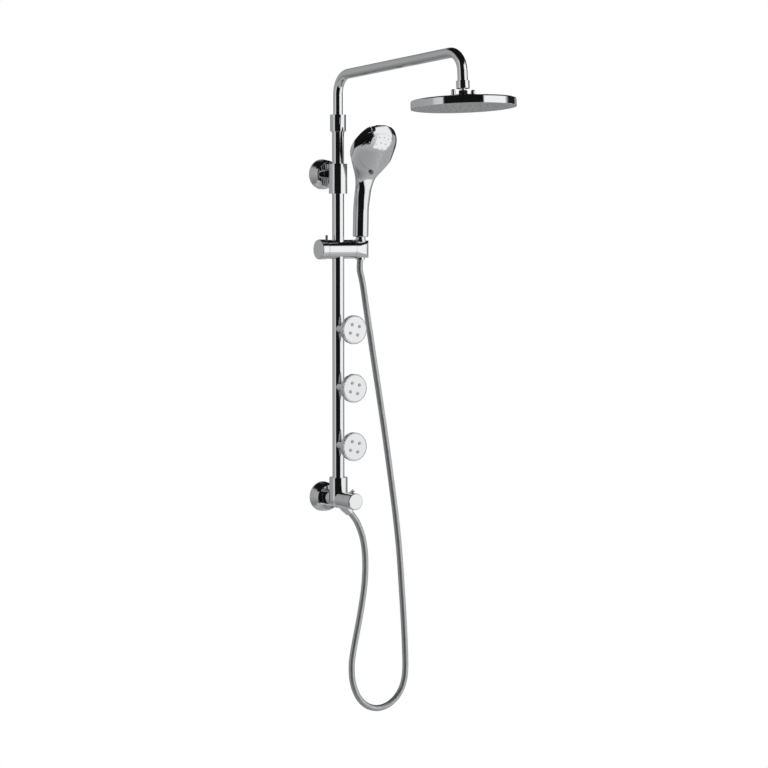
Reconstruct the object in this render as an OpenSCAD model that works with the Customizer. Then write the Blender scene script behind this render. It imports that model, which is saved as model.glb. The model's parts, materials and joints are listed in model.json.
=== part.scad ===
// Wall shower system: riser with three body jets, overhead rain arm, diverter,
// sliding handset holder, handset and hose.
// Millimetres. Origin at the centre of the lower water inlet, on the wall.
// +X right, -Y away from the wall, +Z up.

/* [Wall fixings] */
// Distance from the wall to the axis of the riser
riser_out = 64; // [60:0.5:70]
// Height of the upper fixing above the water inlet
fixing_pitch = 673.5; // [655:0.5:690]
// Diameter of each wall flange
flange_d = 62; // [58:1:70]
// Depth of each flange
flange_depth = 28; // [26:1:30]
// Diameter of the flat front of each flange
flange_face_d = 50; // [44:1:52]
// Wall of the pressed flange shell
flange_wall = 1.6; // [1:0.1:2]
// Diameter of the neck of the upper bracket
neck_d = 22; // [20:0.5:25]
// Diameter of the neck of the water inlet
inlet_neck_d = 34; // [30:0.5:38]
// Core diameter of the female inlet thread
inlet_core_d = 18.6; // [18:0.1:19.2]
// Depth of the inlet thread
inlet_depth = 16; // [12:1:18]
// Diameter of the hidden wall plate
plate_d = 46; // [42:1:48]
// Thickness of the wall plate
plate_t = 5; // [4:0.5:7]
// Distance between the two screw holes of the wall plate
plate_hole_pitch = 32; // [30:1:34]
// Diameter of the wall plate's screw holes
plate_hole_d = 5.2; // [4:0.1:6]
// Diameter of the wall plate's spigot
spigot_d = 15; // [13:0.5:16]
// Length of the spigot from the wall
spigot_len = 30; // [26:1:34]
// Diameter of the grub screws
grub_d = 5; // [4:0.5:5]

/* [Riser] */
// Outer diameter of the riser tube
riser_d = 25; // [24:0.5:26]
// Wall of the riser tube
riser_wall = 1.5; // [1:0.1:2]
// Outer diameter of the sleeves that hold the riser
sleeve_d = 38; // [37:0.5:40]
// Lower end of the upper bracket's sleeve, below its neck
bracket_below = 40.5; // [30:0.5:50]
// Upper end of the upper bracket's sleeve, above its neck
bracket_above = 21; // [16:1:30]
// Upper end of the valve's sleeve, above the inlet
valve_sleeve_top = 45.5; // [40:0.5:50]
// Depth of the riser in the valve's sleeve
riser_insert = 26; // [22:1:27]
// Section of the seal rings, across and along
seal_w = 1.9; // [1.5:0.1:2.2]

/* [Overhead arm] */
// Gap between the upper bracket and the arm's sleeve
bracket_to_sleeve = 64; // [50:1:80]
// Length of the arm's sleeve
arm_sleeve_len = 36.5; // [34:0.5:45]
// Outer diameter of the arm's sleeve
arm_sleeve_d = 33; // [32:0.5:36]
// Height of the narrow lip under the arm's sleeve
arm_lip = 2.5; // [1:0.5:4]
// Depth of the riser in the arm's sleeve
arm_sleeve_seat = 17; // [14:1:18]
// Outer diameter of the arm tube
arm_d = 20; // [19:0.5:22]
// Wall of the arm tube
arm_wall = 1.5; // [1.2:0.1:1.8]
// Centre line radius of both bends of the arm
arm_bend = 40; // [34:1:46]
// Height above the sleeve where the arm's straight lines meet at the first bend
arm_corner_up = 79.6; // [60:0.1:110]
// Reach of the arm from the riser to the second bend's corner
arm_reach = 440; // [380:1:480]
// Rise of the arm's straight run, in degrees
arm_rise = 3.7; // [2:0.1:6]
// Distance down the leg from the corner to the ball's centre
ball_drop = 67; // [62:1:80]

/* [Rain head] */
// Diameter of the swivel ball
ball_d = 16; // [15:0.5:16.5]
// Wall of the ball's seat ring
ball_seat_t = 1; // [0.8:0.1:1.2]
// Outer diameter of the swivel nut
swivel_nut_d = 26; // [25:0.5:28]
// Diameter of the neck under the ball
ball_neck_d = 10; // [8:0.5:10]
// Diameter of the rain head
rain_d = 203; // [190:1:220]
// Height of the rain head's rim
rain_rim = 16; // [13:0.2:20]
// Distance from the ball's centre down to the rim's top
rain_drop = 27; // [26:0.5:32]
// Wall of the rain head
rain_wall = 1.8; // [1.4:0.1:2.4]
// Rise of the rain head's top from its rim to its centre
rain_dome = 8; // [6:0.5:9]
// Diameter of the rain head's hub
rain_hub_d = 16; // [15:0.5:18]
// Distance between the rings of nozzles
rain_ring_pitch = 16; // [13:0.5:17]
// Number of rings of nozzles
rain_rings = 5; // [3:1:5]
// Diameter of each rubber nozzle
nozzle_d = 3.4; // [2.6:0.1:4]
// Distance that the rubber nozzles stand proud
nozzle_proud = 1.4; // [0.8:0.1:2]
// Distance of each cap screw from the rain head's axis
cap_screw_out = 23; // [20:0.5:26]
// Diameter of the cap screws' heads
cap_screw_d = 8.6; // [7:0.2:9]
// Height of the cap screws' heads
cap_screw_h = 11; // [6:0.5:11]

/* [Body jets] */
// Height of the lowest jet
jet_low_z = 113.6; // [105:0.1:125]
// Distance between the jets
jet_pitch = 120.4; // [100:0.1:125]
// Diameter of each jet
jet_d = 59; // [50:1:64]
// Thickness of each jet's disc
jet_t = 12; // [11:0.5:14]
// Distance from the riser's axis to the jet's ball
jet_ball_out = 46; // [42:0.5:50]
// Distance from the jet's ball to its front face
jet_face_out = 18; // [17.5:0.5:20]
// Diameter of the jet's ball
jet_ball_d = 18; // [17:0.5:19]
// Diameter of the jet's stub
jet_stub_d = 20; // [18:0.5:22]
// Distance of the four jet nozzles from the jet's axis
jet_nozzle_out = 12.7; // [10:0.1:15]
// Diameter of each jet nozzle
jet_nozzle_d = 5; // [4:0.2:6]
// Turn of the four jet nozzles, in degrees
jet_nozzle_turn = 31; // [0:1:45]

/* [Diverter] */
// Diameter of the valve's front barrel
barrel_d = 33; // [32:0.5:36]
// Distance from the riser's axis to the barrel's front
barrel_out = 40; // [38:0.5:44]
// Diameter of the diverter's cartridge
cartridge_d = 24; // [22:0.5:25]
// Diameter of the spindle
spindle_d = 8; // [7:0.5:9]
// Diameter of the diverter's handle
handle_d = 34.5; // [33:0.5:37]
// Distance from the riser's axis to the handle's front
handle_out = 67; // [64:0.5:72]
// Diameter of the lever pin
lever_d = 7; // [5:0.5:8]
// Length of the lever pin
lever_len = 21; // [18:1:26]
// Lean of the lever pin above level, in degrees
lever_lean = 31; // [25:1:45]
// Distance of the hose outlet's start below the inlet
outlet_low = 2; // [0:0.5:4]
// Diameter of the hose outlet
outlet_d = 21; // [20:0.5:22]
// Distance along the outlet from the riser's axis to the hose nut
outlet_len = 28; // [26:0.5:30]
// Diameter of the lower hose nut
hose_nut_d = 19; // [18.4:0.2:20]

/* [Slider and holder] */
// Height of the slider
slider_z = 518.5; // [505:0.5:540]
// Diameter of the slider and height of the holder
slider_d = 39; // [36:0.5:42]
// Left end of the slider, from the riser's axis
slider_left = 32; // [31:0.5:36]
// Right end of the slider, from the riser's axis
slider_right = 34; // [32:0.5:35]
// Wall of the slider's plastic bush
bush_wall = 2; // [1.6:0.1:2.4]
// Length of the slider's bush
bush_len = 20; // [16:1:21]
// Diameter of the slider's knob
knob_d = 41; // [39:0.5:44]
// Length of the slider's knob
knob_len = 16; // [14:0.5:20]
// Diameter of the clamp screw
clamp_d = 8; // [6:0.5:8]
// Diameter of the release button
release_d = 5; // [4.4:0.1:5.4]
// Distance that the release button stands proud
release_proud = 10; // [7:0.5:12]
// Distance of the release button from the riser's axis
release_out = 28; // [27:0.5:28.5]
// Travel of the release button
release_travel = 2.5; // [1.5:0.5:3]
// Distance from the riser's axis to the holder's hole
cup_x = 54.5; // [54:0.5:60]
// Diameter of the holder's round end
cup_d = 34; // [33:0.5:36]
// Forward lean of the holder's hole, in degrees
cup_lean = 2; // [0:0.5:8]
// Diameter of the tilt screw
tilt_screw_d = 5; // [4:0.5:6]
// Diameter of the holder's spigot
cup_spigot_d = 16; // [14:0.5:17]
// Width of the holder's slot for the hose
cup_slot = 15.5; // [15:0.1:17]

/* [Handset] */
// Lower end of the cone nut, below the holder's centre
cone_below = 22; // [21:0.5:24]
// Upper end of the cone, above the holder's centre
cone_above = 20; // [19:0.5:22]
// Diameter of the cone at its lower end
cone_low_d = 19.2; // [18.6:0.2:20]
// Diameter of the cone at its upper end
cone_top_d = 23.2; // [22.4:0.2:24]
// Height of the straight collar on the cone nut
cone_collar = 5.2; // [4:0.2:8]
// Diameter of the handset's handle
grip_d = 32.6; // [30:0.2:35]
// Length of the handle up to its neck
grip_len = 92; // [85:1:105]
// Diameter of the handle's neck
grip_neck_d = 29.4; // [28:0.2:30]
// Length of the handle's taper
grip_taper = 18; // [12:1:24]
// Angle between the handle and the spray face, in degrees
head_bend = 31.5; // [24:0.5:40]
// Distance along the face from the neck to the head's centre
head_out = 102; // [96:1:112]
// Distance that the face lies in front of the neck's centre
head_fwd = 9.5; // [8:0.5:12]
// Diameter of the handset's head
head_d = 108; // [107:1:114]
// Thickness of the handset's head
head_t = 27; // [24:0.5:30]
// Diameter of the spray face
face_d = 82; // [70:1:82]
// Thickness of the spray face
face_t = 2.4; // [2:0.1:3]
// Distance between the rings of handset nozzles
face_ring_pitch = 11.4; // [9:0.1:11.6]
// Number of rings of handset nozzles
face_rings = 3; // [2:1:3]
// Diameter of the spray button
button_d = 9; // [8:0.5:9]
// Travel of the spray button
button_travel = 1.8; // [1:0.2:2.4]

/* [Hose] */
// Outer diameter of the hose
hose_d = 13; // [12.6:0.1:13.4]
// Bore of the hose
hose_bore = 9; // [8:0.5:10]
// Distance between the rings that the hose is drawn with
hose_ring_pitch = 20; // [19:1:30]

/* [Clearances] */
// Gap round fixed pieces
fit_gap = 0.1; // [0.05:0.05:0.2]
// Gap round turning and sliding pieces
run_gap = 0.06; // [0.04:0.01:0.1]
// Gap between moving pieces that only pass each other
pass_gap = 0.4; // [0.3:0.1:0.6]

/* [Hidden] */
$fn = 64;
over = 1;

riser_r = riser_d / 2;
arm_sleeve_low = fixing_pitch + bracket_above + bracket_to_sleeve;
arm_corner_z = arm_sleeve_low + arm_sleeve_len + arm_corner_up;
riser_low = valve_sleeve_top - riser_insert;
riser_top = arm_sleeve_low + arm_sleeve_seat;
arm_r = arm_d / 2;
arm_low = riser_top + 2 + pass_gap;
valve_water_d = riser_d - 7;
bracket_low = fixing_pitch - bracket_below;

// Arm: a tangent length and the run between the bends
bend_1_turn = 90 - arm_rise;
bend_1_run = arm_bend * tan(bend_1_turn / 2);
bend_2_run = arm_bend;
arm_run = arm_reach / cos(arm_rise);
// The bends' wall is this much thinner on each side, and the straight tubes lap into it
arm_bend_thin = 0.1;
arm_lap = 0.5;
ball_out = arm_reach + ball_drop * sin(arm_rise);
ball_z = arm_corner_z + arm_reach * tan(arm_rise) - ball_drop * cos(arm_rise);

// Ball joint: radii of the ball, its seat ring and its socket, and half the ring's height
ball_r = ball_d / 2;
seat_half = 4;
ball_gap = 0.15;
seat_out_r = ball_r + ball_gap + ball_seat_t;
socket_r = seat_out_r + ball_gap;
// The arm's leg ends just above the seat ring
leg_end_w = seat_half + 0.3;
swivel_low_w = -6;
swivel_high_w = 9;
swivel_mouth_d = ball_neck_d + 4.6;
ball_water_d = 4;

// Rain head, measured down from the ball's centre
rain_r = rain_d / 2;
rain_face_w = rain_drop + rain_rim;
rain_top_w = rain_drop - rain_dome;
hub_top_w = 9.5;
rain_boss_r = cap_screw_out + 7;
rain_face_t = 2;
rain_mat_t = 1.4;
rain_face_r = rain_r - rain_wall - fit_gap;
mat_r = rain_rings * rain_ring_pitch + nozzle_d / 2 + 2;
post_d = 8;
cap_shank_d = 4;
cap_shank_len = 6;
neck_flange_d = ball_neck_d + 4;
neck_flange_t = 1.6;

// Jets, measured out from the ball's centre
jet_r = jet_d / 2;
jet_ball_r = jet_ball_d / 2;
jet_seat_r = jet_ball_r + ball_gap + ball_seat_t;
jet_socket_r = jet_seat_r + ball_gap;
jet_socket_d = 2 * jet_socket_r + 5;
jet_disc_w = jet_face_out - jet_t;
jet_wall = 1.8;
jet_face_t = 2.5;
jet_mat_t = 1.5;
jet_port_d = 6;
jet_neck_d = 11;
jet_mouth_d = jet_neck_d + 5;
jet_lip_w = -6;

// Diverter, measured out from the riser's axis
cartridge_back = 9;
disc_t = 3;
disc_d = cartridge_d - 3;
cartridge_nut_d = cartridge_d + 4;
cartridge_nut_t = 6;
handle_gap = 0.8;
handle_back = barrel_out + handle_gap;
handle_cavity_d = 19;
handle_cavity_len = 5;
spindle_end = handle_out - 6;
lever_base_out = 46;
lever_sink = 5;

// Hose outlet, measured along its own axis
outlet_angle = 45;
outlet_thread_d = 15;
outlet_thread_len = 7;
nut_len = 12;
outlet_washer_t = 1.5;

// Slider and holder
slider_r = slider_d / 2;
cup_r = cup_d / 2;
bush_r = riser_r + run_gap + bush_wall;
knob_gap = pass_gap;
pad_d = clamp_d + 1;
pad_back = riser_r + 8;
clamp_end = slider_left + knob_gap + knob_len - 3;
release_floor = clamp_d / 2 + 2.5;
release_spring_len = 5;
cup_left = slider_right + pass_gap;
cup_spigot_left = slider_right - 9;
tilt_head_d = tilt_screw_d + 4;
tilt_head_t = 2.4;
tilt_head_x = bush_r + 1.4;

// Handset, measured up the holder's hole
cone_gap = 0.15;
cone_top = cone_above + cone_collar;
grip_low = cone_top + 0.3;
neck_s = grip_low + grip_len;
tail_d = 14;
tail_low = cone_above - 8;
swivel_d = 14.6;
swivel_len = 12;
cone_slope = (cone_top_d - cone_low_d) / 2 / (cone_above + cone_below);
collar_d = cone_top_d - 3;
head_cavity_t = 19;
// The spray button sits beside the face, on the handle's side
button_gap = 1.5;
button_out = (face_d + button_d) / 2 + button_gap;
button_bed = button_travel + 5;
face_nozzle_d = 2.6;
face_mat_t = 1.4;
button_proud = 2;
button_foot = 3;

// Route of the hose: right, out from the riser's axis, up. Its first two points are on
// the outlet's axis and its last two on the axis of the holder's hole.
hose_start = outlet_len + nut_len + 0.3;
hose_end = -cone_below - 0.15;
function outlet_point(s) = [s * cos(outlet_angle), 0, -outlet_low - s * sin(outlet_angle)];
function cup_point(s) = [cup_x, s * sin(cup_lean), slider_z + s * cos(cup_lean)];
route = [
    outlet_point(hose_start), outlet_point(hose_start + 8),
    [44, 0, -49], [52, 0.5, -65], [58.5, 1, -83.5], [63, 1.5, -105.5], [65, 2, -131],
    [64.5, 2.5, -161], [60.5, 3.5, -196], [53, 4.5, -235], [45, 5.5, -269],
    [37.5, 6.5, -298.5], [32, 7, -322.5], [28, 7.5, -345], [27, 8.5, -367],
    [29.5, 9, -388], [37, 9.5, -410], [49.5, 10, -429], [67, 10.6, -442],
    [88, 11.3, -448], [110, 12, -445.5], [130, 12.7, -435], [145.5, 13.3, -418],
    [155, 13.8, -396], [158.5, 14, -368], [157.5, 14, -326], [154.5, 13.5, -265],
    [150.5, 12.5, -200], [144.5, 11, -115], [136, 9, -36], [124.5, 7.5, 46],
    [112.5, 6.2, 126], [98.5, 4.7, 212], [84.5, 3.4, 295], [68.5, 1.8, 392],
    [60.2, 0.2, 446], cup_point(hose_end - 22), cup_point(hose_end)
];
hose_sides = 12;
// Points of the route where one stretch of hose ends and the next begins
hose_cuts = [0, 27, 33, 34, 37];
curve_steps = 8;

// Places. at_wall: +Z points away from the wall, +Y up.
module at_wall(z) translate([0, 0, z]) rotate([90, 0, 0]) children();
module at_riser(z) translate([0, -riser_out, z]) children();
// side_plane: +X away from the wall, +Y up
module side_plane() translate([0, -riser_out, 0]) rotate([90, 0, -90]) children();
// at_ball: +Z up the arm's leg
module at_ball()
    translate([0, -riser_out - ball_out, ball_z]) rotate([-arm_rise, 0, 0]) children();
// at_outlet: +Z out of the hose outlet
module at_outlet()
    translate([0, -riser_out, -outlet_low]) rotate([0, 90 + outlet_angle, 0]) children();
// along_slider: +Z to the right, along the slider
module along_slider() at_riser(slider_z) rotate([0, 90, 0]) children();
// at_cup: +Z up the holder's hole
module at_cup()
    translate([cup_x, -riser_out, slider_z]) rotate([cup_lean, 0, 0]) children();
// at_head: +Z out of the spray face, +Y up the face
module at_head()
    at_cup() translate([0, 0, neck_s]) rotate([90 + head_bend, 0, 0])
        translate([0, head_out, head_fwd]) children();

module tube(outer, inner, h)
    difference() {
        cylinder(d = outer, h = h);
        translate([0, 0, -over]) cylinder(d = inner, h = h + 2 * over);
    }

// Ring between two spheres, cut level at plus and minus half its height
module ball_ring(inner_r, outer_r, half_h)
    rotate_extrude()
        intersection() {
            difference() {
                circle(r = outer_r);
                circle(r = inner_r);
            }
            translate([0, -half_h]) square([outer_r, 2 * half_h]);
        }

// Positions on rings of nozzles: 6, 12, 18 ... on successive rings
module on_rings(rings, pitch)
    for (ring = [1 : rings], k = [0 : 6 * ring - 1])
        rotate(k * 60 / ring) translate([ring * pitch, 0, 0]) children();

// Wall fixings
module flange(z, bore_d) {
    face_r = flange_face_d / 2;
    edge = flange_d / 2;
    at_wall(z) difference() {
        rotate_extrude() polygon([
            [0, 0], [edge, 0], [edge, 4], [edge - 1, flange_depth * 0.45],
            [edge - 2, flange_depth * 0.7], [face_r + 1.6, flange_depth - 1.6],
            [face_r, flange_depth], [0, flange_depth]
        ]);
        translate([0, 0, -over]) cylinder(
            r = face_r - flange_wall, h = flange_depth - flange_wall + over);
        translate([0, 0, -over]) cylinder(d = bore_d + 2 * fit_gap, h = flange_depth + 2 * over);
    }
}

module lower_flange() color("silver") flange(0, inlet_neck_d);
module upper_flange() color("silver") flange(fixing_pitch, neck_d);

module wall_plate() color("gainsboro") at_wall(fixing_pitch) difference() {
    union() {
        cylinder(d = plate_d, h = plate_t);
        cylinder(d = spigot_d, h = spigot_len);
    }
    for (side = [-1, 1])
        translate([side * plate_hole_pitch / 2, 0, -over])
            cylinder(d = plate_hole_d, h = plate_t + 2 * over);
}

module upper_bracket() color("silver") difference() {
    union() {
        at_riser(bracket_low) cylinder(d = sleeve_d, h = bracket_below + bracket_above);
        at_wall(fixing_pitch) translate([0, 0, plate_t]) cylinder(d = neck_d, h = riser_out - plate_t);
    }
    at_riser(bracket_low - over)
        cylinder(r = riser_r + fit_gap, h = bracket_below + bracket_above + 2 * over);
    at_wall(fixing_pitch) cylinder(d = spigot_d + 2 * fit_gap, h = spigot_len + fit_gap);
    at_wall(fixing_pitch) translate([0, 0, grub_out()]) rotate([90, 0, 0])
        cylinder(d = grub_d + 2 * fit_gap, h = neck_d);
}

function grub_out() = plate_t + 9;

// Grub screws: one under the upper neck, one behind the arm's sleeve
module grub_screws() color("dimgray") {
    at_wall(fixing_pitch) translate([0, 0, grub_out()]) rotate([90, 0, 0])
        translate([0, 0, spigot_d / 2 + fit_gap])
            cylinder(d = grub_d, h = (neck_d - spigot_d) / 2 - 0.4);
    at_riser(arm_groove_z()) rotate([-90, 0, 0]) translate([0, 0, arm_r - 0.5])
        cylinder(d = grub_d - 1, h = (arm_sleeve_d - arm_d) / 2 - 0.5);
}

// Riser
module riser_tube() color("silver") difference() {
    at_riser(riser_low) tube(riser_d, riser_d - 2 * riser_wall, riser_top - riser_low);
    for (k = [0 : 2]) at_wall(jet_low_z + k * jet_pitch) translate([0, 0, riser_out])
        cylinder(d = jet_port_d + 2 + 2 * fit_gap, h = riser_d);
}

function seal_heights() = [riser_low + 6, riser_low + 16];

module seal_rings() color("black") {
    for (z = seal_heights()) at_riser(z)
        tube(riser_d + 2 * fit_gap + 2 * seal_w, riser_d + fit_gap, seal_w);
    at_riser(arm_sleeve_low + 8)
        tube(riser_d + 2 * fit_gap + 2 * seal_w, riser_d + fit_gap, seal_w);
    at_riser(arm_low + 3)
        tube(arm_d + 2 * run_gap + 2 * seal_w, arm_d + 2 * run_gap, seal_w);
    at_outlet() translate([0, 0, outlet_len + outlet_thread_len + fit_gap])
        tube(outlet_thread_d, hose_bore, outlet_washer_t);
}

module seal_groove(d) cylinder(d = d + 4 * fit_gap + 2 * seal_w, h = seal_w + fit_gap);

// Valve body: inlet neck, sleeve for the riser, front barrel and hose outlet
module valve_body() color("silver") difference() {
    union() {
        at_wall(0) cylinder(d = inlet_neck_d, h = riser_out);
        at_riser(0) rotate_extrude() intersection() {
            union() {
                circle(d = sleeve_d);
                square([sleeve_d / 2, valve_sleeve_top]);
            }
            translate([0, -sleeve_d / 2]) square([sleeve_d, sleeve_d + valve_sleeve_top]);
        }
        at_wall(0) translate([0, 0, riser_out]) cylinder(d = barrel_d, h = barrel_out);
        at_outlet() cylinder(d = outlet_d, h = outlet_len);
        at_outlet() cylinder(d = outlet_thread_d, h = outlet_len + outlet_thread_len);
    }
    at_wall(0) translate([0, 0, -over]) cylinder(d = inlet_core_d, h = inlet_depth + over);
    at_wall(0) cylinder(d = inlet_core_d - 5, h = riser_out + 2);
    at_riser(0) cylinder(d = valve_water_d, h = riser_low + over);
    at_riser(riser_low) cylinder(r = riser_r + fit_gap, h = riser_insert + over);
    for (z = seal_heights()) at_riser(z) seal_groove(riser_d);
    at_wall(0) translate([0, 0, riser_out + cartridge_back])
        cylinder(d = cartridge_d + 2 * fit_gap, h = barrel_out);
    at_wall(0) translate([0, 0, riser_out])
        cylinder(d = disc_d - 6, h = cartridge_back + over);
    at_wall(0) translate([0, 0, riser_out + barrel_out - cartridge_nut_t])
        cylinder(d = cartridge_nut_d + 2 * fit_gap, h = cartridge_nut_t + over);
    at_outlet() cylinder(d = hose_bore, h = outlet_len + outlet_thread_len + over);
}

// Diverter cartridge: two ceramic discs, a housing and a spindle
module disc_ports()
    for (k = [0 : 2]) rotate(k * 120) translate([5.5, 0, -over])
        cylinder(d = 4, h = disc_t + 2 * over);

module ceramic_disc_fixed() color("white") at_wall(0)
    translate([0, 0, riser_out + cartridge_back]) difference() {
        cylinder(d = disc_d, h = disc_t);
        disc_ports();
    }

module ceramic_disc_moving() color("white") at_wall(0)
    translate([0, 0, riser_out + cartridge_back + disc_t + run_gap]) difference() {
        cylinder(d = disc_d - 1, h = disc_t);
        disc_ports();
    }

function disc_stack() = cartridge_back + 2 * disc_t + run_gap;
function cartridge_front() = barrel_out - cartridge_nut_t;

module diverter_cartridge() color("tan") at_wall(0) difference() {
    translate([0, 0, riser_out + cartridge_back])
        cylinder(d = cartridge_d, h = cartridge_front() - cartridge_back);
    translate([0, 0, riser_out])
        cylinder(d = disc_d + 2 * fit_gap, h = disc_stack() + 2.4 + pass_gap);
    translate([0, 0, riser_out])
        cylinder(d = spindle_d + 2 * run_gap, h = barrel_out);
}

module cartridge_nut() color("goldenrod") at_wall(0)
    translate([0, 0, riser_out + cartridge_front() + fit_gap])
        tube(cartridge_nut_d, spindle_d + 2 * pass_gap, cartridge_nut_t - fit_gap);

module diverter_spindle() color("goldenrod") at_wall(0) translate([0, 0, riser_out]) {
    translate([0, 0, disc_stack()]) cylinder(d = disc_d - 4, h = 2.4);
    translate([0, 0, disc_stack()]) cylinder(d = spindle_d, h = spindle_end - disc_stack());
}

module lever_place()
    at_wall(0) translate([0, handle_d / 2 - 1.6, riser_out + lever_base_out])
        rotate([-lever_lean, 0, 0]) translate([0, 0, -lever_sink]) children();

module diverter_handle() color("silver") difference() {
    at_wall(0) translate([0, 0, riser_out]) rotate_extrude() polygon([
        [0, handle_back], [handle_d / 2 - 0.6, handle_back],
        [handle_d / 2, handle_back + 0.6], [handle_d / 2, handle_out - 1.4],
        [handle_d / 2 - 1.2, handle_out - 0.3], [handle_d / 2 - 2.6, handle_out],
        [0, handle_out]
    ]);
    at_wall(0) translate([0, 0, riser_out + handle_back - over])
        cylinder(d = handle_cavity_d, h = handle_cavity_len + over);
    at_wall(0) translate([0, 0, riser_out])
        cylinder(d = spindle_d + 2 * fit_gap, h = spindle_end + fit_gap);
    lever_place() cylinder(d = lever_d + 2 * fit_gap, h = lever_len);
}

module diverter_lever() color("silver") lever_place() {
    translate([0, 0, fit_gap]) cylinder(d = lever_d, h = lever_len - lever_d / 2);
    translate([0, 0, fit_gap + lever_len - lever_d / 2]) cylinder(
        d1 = lever_d, d2 = lever_d * 0.55, h = lever_d * 0.4);
}

// Lower end of the hose
module hose_nut_low() color("silver") at_outlet() translate([0, 0, outlet_len])
    difference() {
        union() {
            cylinder(d = hose_nut_d, h = nut_len - 3);
            cylinder(d = hose_d + 2.4, h = nut_len);
        }
        translate([0, 0, -over]) cylinder(
            d = outlet_thread_d + 2 * fit_gap,
            h = outlet_thread_len + outlet_washer_t + 2 * fit_gap + over);
        cylinder(d = hose_bore, h = nut_len + over);
    }

// Overhead arm
function arm_groove_z() = arm_sleeve_low + arm_sleeve_len - 5;

module arm_sleeve() color("silver") difference() {
    union() {
        at_riser(arm_sleeve_low) cylinder(r = riser_r + 1.2, h = arm_sleeve_len);
        at_riser(arm_sleeve_low + arm_lip)
            cylinder(d = arm_sleeve_d, h = arm_sleeve_len - arm_lip);
    }
    at_riser(arm_sleeve_low - over) cylinder(r = riser_r + fit_gap, h = arm_sleeve_seat + over);
    at_riser(arm_sleeve_low) cylinder(d = arm_d - 5, h = arm_sleeve_len);
    at_riser(riser_top + 2) cylinder(r = arm_r + run_gap, h = arm_sleeve_len);
    at_riser(arm_sleeve_low + 8) seal_groove(riser_d);
    at_riser(arm_low + 3) seal_groove(arm_d);
    at_riser(arm_groove_z()) rotate([-90, 0, 0])
        cylinder(d = grub_d - 1 + 2 * fit_gap, h = arm_sleeve_d);
}

// The arm's tube: riser end, bend, rising run, bend, leg
module arm_bend_tube(turn)
    rotate_extrude(angle = turn) translate([arm_bend, 0]) difference() {
        circle(r = arm_r - arm_bend_thin);
        circle(r = arm_r - arm_wall + arm_bend_thin);
    }

module arm_straight(h) tube(arm_d, arm_d - 2 * arm_wall, h);

module overhead_arm() color("silver") difference() {
    side_plane() {
        translate([0, arm_low, 0]) rotate([-90, 0, 0])
            arm_straight(arm_corner_z - bend_1_run - arm_low + arm_lap);
        translate([arm_bend, arm_corner_z - bend_1_run, 0])
            rotate([0, 0, 180 - bend_1_turn]) arm_bend_tube(bend_1_turn);
        translate([0, arm_corner_z, 0]) rotate([0, 0, arm_rise]) {
            translate([bend_1_run - arm_lap, 0, 0]) rotate([0, 90, 0])
                arm_straight(arm_run - bend_1_run - bend_2_run + 2 * arm_lap);
            translate([arm_run - bend_2_run, -arm_bend, 0]) arm_bend_tube(90);
            translate([arm_run, -bend_2_run + arm_lap, 0]) rotate([90, 0, 0])
                arm_straight(ball_drop - bend_2_run - leg_end_w + arm_lap);
        }
    }
    at_riser(arm_groove_z() - 2.5) tube(arm_d + 2, arm_d - 1.6, 5);
}

// Swivel nut, fixed on the arm's leg, with the ball's socket in it
module swivel_nut() color("silver") at_ball() difference() {
    translate([0, 0, swivel_low_w])
        cylinder(d = swivel_nut_d, h = swivel_high_w - swivel_low_w);
    translate([0, 0, leg_end_w - fit_gap]) cylinder(r = arm_r + fit_gap, h = swivel_high_w);
    cylinder(r = socket_r, h = swivel_high_w);
    sphere(r = socket_r);
    translate([0, 0, swivel_low_w - over]) cylinder(d = swivel_mouth_d, h = swivel_nut_d / 2);
}

module ball_seat() color("white") at_ball()
    ball_ring(ball_r + ball_gap, seat_out_r, seat_half);

module swivel_ball() color("silver") at_ball() difference() {
    union() {
        sphere(r = ball_r);
        translate([0, 0, -rain_top_w - rain_wall - pass_gap - neck_flange_t])
            cylinder(d = ball_neck_d, h = rain_top_w + rain_wall);
        translate([0, 0, -rain_top_w - rain_wall - pass_gap - neck_flange_t])
            cylinder(d = neck_flange_d, h = neck_flange_t);
    }
    translate([0, 0, -rain_face_w]) cylinder(d = ball_water_d, h = 2 * rain_face_w);
}

// Rain head
module rain_head_body() color("silver") at_ball() difference() {
    rotate_extrude() polygon([
        [0, -hub_top_w], [rain_hub_d / 2, -hub_top_w], [rain_hub_d / 2, -rain_top_w],
        [rain_boss_r, -rain_top_w], [rain_boss_r + 3, -rain_top_w - 1],
        [rain_r - 3, -rain_drop], [rain_r - 1, -rain_drop - 0.8],
        [rain_r, -rain_drop - 2.6], [rain_r, -rain_face_w + 0.6],
        [rain_r - 0.6, -rain_face_w], [0, -rain_face_w]
    ]);
    rotate_extrude() polygon([
        [0, -rain_top_w - rain_wall], [rain_boss_r, -rain_top_w - rain_wall],
        [rain_r - rain_wall, -rain_drop - rain_wall - 1], [rain_r - rain_wall, -rain_face_w - over],
        [0, -rain_face_w - over]
    ]);
    translate([0, 0, -rain_drop]) cylinder(d = ball_neck_d + 2 * run_gap, h = rain_drop);
    for (side = [-1, 1]) translate([side * cap_screw_out, 0, -rain_drop])
        cylinder(d = cap_shank_d + 2 * fit_gap, h = rain_drop);
}

// Height of the two posts on the back of the spray face, up to the top's underside
function post_top_w() = rain_top_w + rain_wall;

module rain_head_face() color("gray") at_ball() difference() {
    union() {
        translate([0, 0, -rain_face_w]) cylinder(r = rain_face_r, h = rain_face_t);
        for (side = [-1, 1]) translate([side * cap_screw_out, 0, -rain_face_w])
            cylinder(d = post_d, h = rain_face_w - post_top_w() - fit_gap);
    }
    translate([0, 0, -rain_face_w - over]) rain_nozzle_holes();
    for (side = [-1, 1]) translate([side * cap_screw_out, 0, -post_top_w() - cap_shank_len])
        cylinder(d = cap_shank_d + 2 * fit_gap, h = rain_drop);
}

// Nozzles sit between the two posts, so those on a post's place are left out
function clear_of_post(x, y) = norm([abs(x) - cap_screw_out, y]) > post_d / 2 + nozzle_d;

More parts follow.
